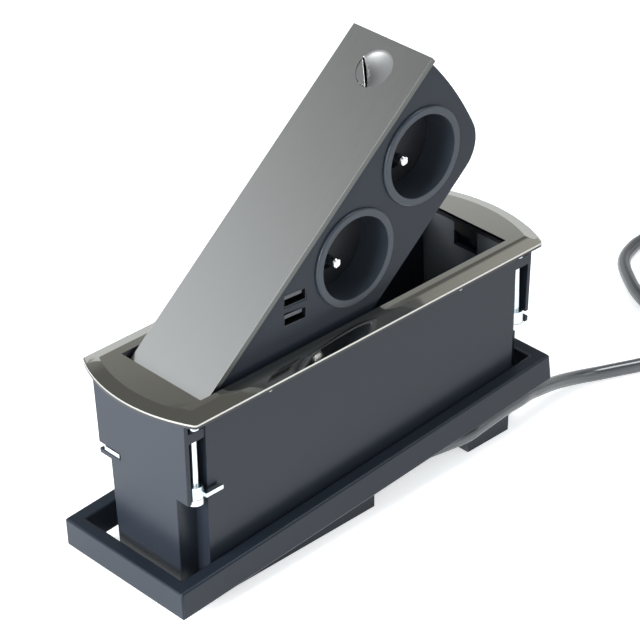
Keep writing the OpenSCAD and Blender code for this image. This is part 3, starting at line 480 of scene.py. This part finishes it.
def softbox(name, plan):
    light = bpy.data.lights.new(name, "AREA")
    light.shape = "RECTANGLE"
    light.size, light.size_y = plan["size"]
    light.energy = plan["power"]
    obj = bpy.data.objects.new(name, light)
    scene.collection.objects.link(obj)
    obj.location = plan["spot"]
    aim = Vector(plan["aim"]) - Vector(plan["spot"])
    obj.rotation_euler = aim.to_track_quat("-Z", "Y").to_euler()


makeFloor(floorPlan)
makeStudio(studioPlan)
for name, plan in boxPlan.items():
    softbox(name, plan)
print("stage and lights ready")


# how a solid's mesh is joined up, merged and given its broken edges, in metres
meshPlan = {
    "join": 2e-6,
    "flat": math.radians(0.6),  # between faces that are merged
    "planesPerMm": 5,  # how finely planes are told apart
    "mergeTries": 4,
    "mergeShare": 1.0005,  # of a face's own area, for its triangles together
    "mergeSlack": 1e-10,
    "spike": 0.9,  # cosine between two edges of a face that turns back on itself
    "overrun": 0.0005,  # past the ends of an edge
    "roomPerWidth": 2.4,
    "leastShare": 0.12,
    "hardAngle": math.radians(50),
    "smoothAngle": 30,  # in degrees, where a piece has no angle of its own
    "segments": 2,
    "normalWeight": 100,
    "relaxTries": 6,
    "relaxShare": 1.001,
    "relaxSlack": 3e-8,
    "relaxReach": 2.2,  # in widths of the bevel
    "turned": 0.5,  # cosine between a folded triangle and its face
    "sliver": 0.0002,
}


def flatKey(face):
    # the plane that a face lies in, rounded so that its neighbours in that plane get the same one
    normal = face.normal
    away = round(normal.dot(face.verts[0].co) / mm * meshPlan["planesPerMm"])
    return (round(normal.x, 2), round(normal.y, 2), round(normal.z, 2), away)


def foldedPlanes(work, plan):
    # planes whose merged face has holes or arms that its triangles would cover
    area = {}
    for loops in work.calc_loop_triangles():
        a, b, c = (loop.vert.co for loop in loops)
        face = loops[0].face
        area[face] = area.get(face, 0.0) + (b - a).cross(c - a).length / 2
    share, slack = plan["mergeShare"], plan["mergeSlack"]
    return {flatKey(face) for face, total in area.items() if total > face.calc_area() * share + slack}


def cleanCopy(name, label, plan):
    # the solid's own mesh, joined up and with its flat faces merged where that is safe
    mesh = bpy.data.meshes.new(label)
    folded = set()
    for _ in range(plan["mergeTries"]):
        work = bmesh.new()
        work.from_mesh(nodes[name].data)
        bmesh.ops.remove_doubles(work, verts=work.verts, dist=plan["join"])
        loose = [e for e in work.edges if not any(flatKey(f) in folded for f in e.link_faces)]
        bmesh.ops.dissolve_limit(work, angle_limit=plan["flat"], verts=[], edges=loose)
        found = foldedPlanes(work, plan) - folded
        if not found:
            break
        folded |= found
    work.to_mesh(mesh)
    work.free()
    obj = bpy.data.objects.new(label, mesh)
    scene.collection.objects.link(obj)
    return obj


def inSpike(edge, face, limit):
    # whether the face's outline turns back on itself at either end of this edge
    for corner in edge.verts:
        along = (edge.other_vert(corner).co - corner.co).normalized()
        for other in corner.link_edges:
            if other is not edge and face in other.link_faces:
                if along.dot((other.other_vert(corner).co - corner.co).normalized()) > limit:
                    return True
    return False


def edgeRoom(edge, face, plan):
    # how far the face runs from this edge before it meets another of its corners
    if inSpike(edge, face, plan["spike"]):
        return 0.0
    a, b = edge.verts
    line = (b.co - a.co)
    span = line.length
    line.normalize()
    room = 1.0
    for vert in face.verts:
        if vert is a or vert is b:
            continue
        offset = vert.co - a.co
        t = offset.dot(line)
        if -plan["overrun"] < t < span + plan["overrun"]:
            room = min(room, (offset - line * t).length)
    return room


def weighEdges(mesh, width, angle, hardCap, plan):
    # outer edges with room on both sides get a full bevel, tight ones a smaller one or none
    work = bmesh.new()
    work.from_mesh(mesh)
    layer = work.edges.layers.float.new("bevel_weight_edge")
    for edge in work.edges:
        if len(edge.link_faces) != 2 or edge.calc_face_angle_signed() < math.radians(angle):
            continue
        room = min(edgeRoom(edge, face, plan) for face in edge.link_faces)
        share = min(1.0, room / (plan["roomPerWidth"] * width * mm))
        if edge.calc_face_angle_signed() > plan["hardAngle"]:
            share = min(share, hardCap)
        edge[layer] = share if share > plan["leastShare"] else 0.0
    work.to_mesh(mesh)
    work.free()


def foldedSpots(obj, plan):
    # corners of the triangles that lie upside down in the finished mesh
    view = obj.evaluated_get(bpy.context.evaluated_depsgraph_get())
    mesh = view.to_mesh()
    mesh.calc_loop_triangles()
    total = [0.0] * len(mesh.polygons)
    for tri in mesh.loop_triangles:
        total[tri.polygon_index] += tri.area
    spots = []
    for tri in mesh.loop_triangles:
        face = mesh.polygons[tri.polygon_index]
        if total[face.index] > face.area * plan["relaxShare"] + plan["relaxSlack"]:
            a, b, c = (mesh.vertices[v].co.copy() for v in tri.vertices)
            normal = (b - a).cross(c - a).normalized()
            narrow = 2 * tri.area / max((b - a).length, (c - b).length, (a - c).length)
            if normal.dot(face.normal) < plan["turned"] or narrow < plan["sliver"]:
                spots += [a, b, c]
    view.to_mesh_clear()
    return spots


def relaxEdges(obj, width, plan):
    # takes the bevel off the edges that would fold a face over
    reach = plan["relaxReach"] * width * mm
    for _ in range(plan["relaxTries"]):
        spots = foldedSpots(obj, plan)
        if not spots:
            return
        tree = KDTree(len(spots))
        for index, spot in enumerate(spots):
            tree.insert(spot, index)
        tree.balance()
        mesh = obj.data
        weights = mesh.attributes["bevel_weight_edge"].data
        for edge in mesh.edges:
            weight = weights[edge.index]
            if weight.value > 0 and any(tree.find(mesh.vertices[v].co)[2] < reach for v in edge.vertices):
                weight.value = 0.0
        mesh.update()
    print("still folded:", obj.name, len(foldedSpots(obj, plan)))


# the bezel's rim below its top band and the opening's walls, but for the upper part of its far end wall,
# are painted dark as painted shade, so that the metal's bright reflection shows only as a thin line along
# the rim's top
bezelShadeBand = {
    "rimFoot": 101.9,  # heights below which the faces are painted dark
    "openingFoot": 103.0,
    "steep": 0.3,  # how far a face may lean and still be a wall
    "farEnd": -0.9,  # the opening's far end wall keeps the metal finish down to its own foot
    "join": 1e-6,
}
bayPlan = {"halfLength": 94.5, "halfWidth": 26.5, "floor": 6}


def cutShadeBand(mesh):
    # loops round the bezel where the painted shade begins, so that the faces above and below can differ
    for height in (bezelShadeBand["rimFoot"], bezelShadeBand["openingFoot"]):
        work = bmesh.new()
        work.from_mesh(mesh)
        parts = work.verts[:] + work.edges[:] + work.faces[:]
        bmesh.ops.bisect_plane(work, geom=parts, dist=bezelShadeBand["join"],
                               plane_co=(0, 0, height * mm), plane_no=(0, 0, 1))
        work.to_mesh(mesh)
        work.free()


def overBay(spot):
    return abs(spot.x) < bayPlan["halfLength"] and abs(spot.y) < bayPlan["halfWidth"]


# the housing's faces inside the bay, which get the lighter grey as painted light
def inBayPaintedLight(spot, normal):
    return overBay(spot) and spot.z > bayPlan["floor"]


# the bezel's faces that are painted dark, as painted shade
def inRimShade(spot, normal):
    if abs(normal.z) > bezelShadeBand["steep"]:
        return False
    if spot.z < bezelShadeBand["rimFoot"]:
        return True
    return overBay(spot) and (normal.x > bezelShadeBand["farEnd"] or spot.z < bezelShadeBand["openingFoot"])


# the lid's flat runs on towards the opening's edge before it rolls down round the pivot
rollPlan = {
    "pivot": (-82.7, 95.5),
    "centre": (3.4, 0.3),
    "radius": 8.6,  # of the solid's roll
    "reach": 10.9,  # of the roll as seen, round the pivot
    "top": 8.9,
    "slack": 0.001,
}


def rollDown(mesh):
    plan = rollPlan
    turn = Matrix.Rotation(lidLean, 4, "Y")
    pivot = Vector((plan["pivot"][0], 0, plan["pivot"][1])) * mm
    centre = Vector((plan["centre"][0], 0, plan["centre"][1]))
    reach, top = plan["reach"], plan["top"]
    flat = math.sqrt(reach ** 2 - top ** 2) + centre.x
    start = math.atan2(top, centre.x - flat)
    length = flat + reach * (math.pi - start)
    for vert in mesh.vertices:
        spot = (turn @ (vert.co - pivot)) / mm
        if spot.x > centre.x - plan["slack"]:
            continue
        if spot.z < centre.z:
            depth, run, drop = spot.x - centre.x + plan["radius"], length, centre.z - spot.z
        else:
            arm = spot - centre
            depth, drop = plan["radius"] - math.hypot(arm.x, arm.z), 0.0
            run = (math.atan2(arm.z, arm.x) - math.pi / 2) / (math.pi / 2) * length
        if run < flat:
            x, z = centre.x - run, top - depth
        else:
            around = start + (run - flat) / reach
            x, z = (reach - depth) * math.cos(around), (reach - depth) * math.sin(around) - drop
        vert.co = pivot + turn.inverted() @ (Vector((x, spot.y, z)) * mm)


# the dish's faces lean away from the lid's plane, near its upper end, and the cut sides face along y;
# both are painted darker than the lid, as painted shade
lidFaces = {"above": 190, "halfWidth": 20, "leastLean": 0.99999, "mostLean": 0.3, "cutSide": 0.9}


def inDish(spot, normal):
    level = normal.dot(Vector((-math.sin(lidLean), 0, math.cos(lidLean))))
    leans = lidFaces["mostLean"] < level < lidFaces["leastLean"]
    return leans and spot.z > lidFaces["above"] and abs(spot.y) < lidFaces["halfWidth"]


def onCutSide(spot, normal):
    return abs(normal.y) > lidFaces["cutSide"]


# pieces made from the solids: width of the broken edges in mm, and the body that they ride on
piecePlans = {
    # the housing's bay is painted lighter than the housing, as painted light
    "housing": {"label": "housingShell", "finish": "satinMould", "width": 0.35, "body": "housing",
                "paintedLightAndShade": {"bayMould": inBayPaintedLight}},
    "clamping_frame": {"label": "pushOnFrame", "finish": "frameMould", "width": 0.9, "body": "frame"},
    # the bezel's lower rim and opening walls get painted shade
    "bezel": {"label": "bowedBezel", "finish": "polishedBezel", "width": 1.6, "body": "housing",
              "angle": 9, "segments": 4, "hardCap": 0.45,
              "reshape": cutShadeBand, "paintedLightAndShade": {"wellMould": inRimShade}},
    "block_front": {"label": "blockFront", "finish": "blockMould", "width": 1.4, "body": "block"},
    "block_rear": {"label": "blockRear", "finish": "blockMould", "width": 1.4, "body": "block"},
    # the lid's cut sides and dish get painted shade
    "lid": {"label": "brushedLidPlate", "finish": "brushedLid", "width": 0.14, "body": "block",
            "reshape": rollDown, "paintedLightAndShade": {"lidEdge": onCutSide, "dishLid": inDish}},
    "socket_ring_1": {"label": "outletRingOuter", "finish": "ringMould", "width": 0.25, "body": "block"},
    "socket_ring_2": {"label": "outletRingInner", "finish": "ringMould", "width": 0.25, "body": "block"},
    "latch_flap": {"label": "pullFlap", "finish": "brushedLid", "width": 0.12, "body": "flap"},
    "plug_body": {"label": "plugBody", "finish": "rubberBoot", "width": 0.4, "body": "housing"},
    "plug_relief": {"label": "plugBoot", "finish": "rubberBoot", "width": 0.3, "body": "housing"},
    "base_cover": {"label": "baseCover", "finish": "frameMould", "width": 0.25, "body": "housing"},
}


def paint(obj, material):
    obj.data.materials.clear()
    obj.data.materials.append(material)


def paintSome(mesh, material, picks):
    # gives a further material to the faces that the test picks
    mesh.materials.append(material)
    for face in mesh.polygons:
        if picks(face.center / mm, face.normal):
            face.material_index = len(mesh.materials) - 1


def softened(name, plan):
    # the piece with its edges broken, in its finishes
    obj = cleanCopy(name, plan["label"], meshPlan)
    mesh = obj.data
    width, angle = plan["width"], plan.get("angle", meshPlan["smoothAngle"])
    if "reshape" in plan:
        plan["reshape"](mesh)
    mesh.polygons.foreach_set("use_smooth", [True] * len(mesh.polygons))
    weighEdges(mesh, width, angle, plan.get("hardCap", 1.0), meshPlan)
    mesh.set_sharp_from_angle(angle=math.radians(angle))
    bevel = obj.modifiers.new("edges", "BEVEL")
    bevel.width = width * mm
    bevel.segments = plan.get("segments", meshPlan["segments"])
    bevel.limit_method = "WEIGHT"
    bevel.use_clamp_overlap = False
    relaxEdges(obj, width, meshPlan)
    even = obj.modifiers.new("normals", "WEIGHTED_NORMAL")
    even.keep_sharp = True
    even.weight = meshPlan["normalWeight"]
    paint(obj, finish[plan["finish"]])
    # the faces that get painted light and painted shade
    for paintedFinish, picks in plan.get("paintedLightAndShade", {}).items():
        paintSome(mesh, finish[paintedFinish], picks)
    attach(obj, plan["body"])
    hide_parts(name)


for name, plan in piecePlans.items():
    softened(name, plan)
print("pieces made:", len(piecePlans))


# what the other solids are made of, by the start of the node's name
finishOf = {
    "bezel_clips": "darkSteel", "hinge_pins": "brightZinc", "latch_keeper": "darkSteel",
    "cable_gland": "satinMould", "strain_relief": "rubberBoot", "terminal_block": "paleMould",
    "cover_screws": "brightZinc", "pivot_bushes": "warmBrass", "socket_floor": "wellMould",
    "earth_pin": "chromePin", "shutter": "wellMould", "live_contacts": "warmBrass",
    "usb_shell": "portSteel", "usb_tongue": "bayMould", "charger_board": "boardGreen",
    "block_screws": "brightZinc", "latch_hook": "darkSteel", "clamp_screw": "brightZinc",
    "clamp_nut": "brightZinc", "pawl": "brightZinc", "plug_pins": "brightZinc", "cord_tie": "rubberBoot",
}
for name, obj in nodes.items():
    for start, label in finishOf.items():
        if name.startswith(start):
            paint(obj, finish[label])
print("solids dressed")
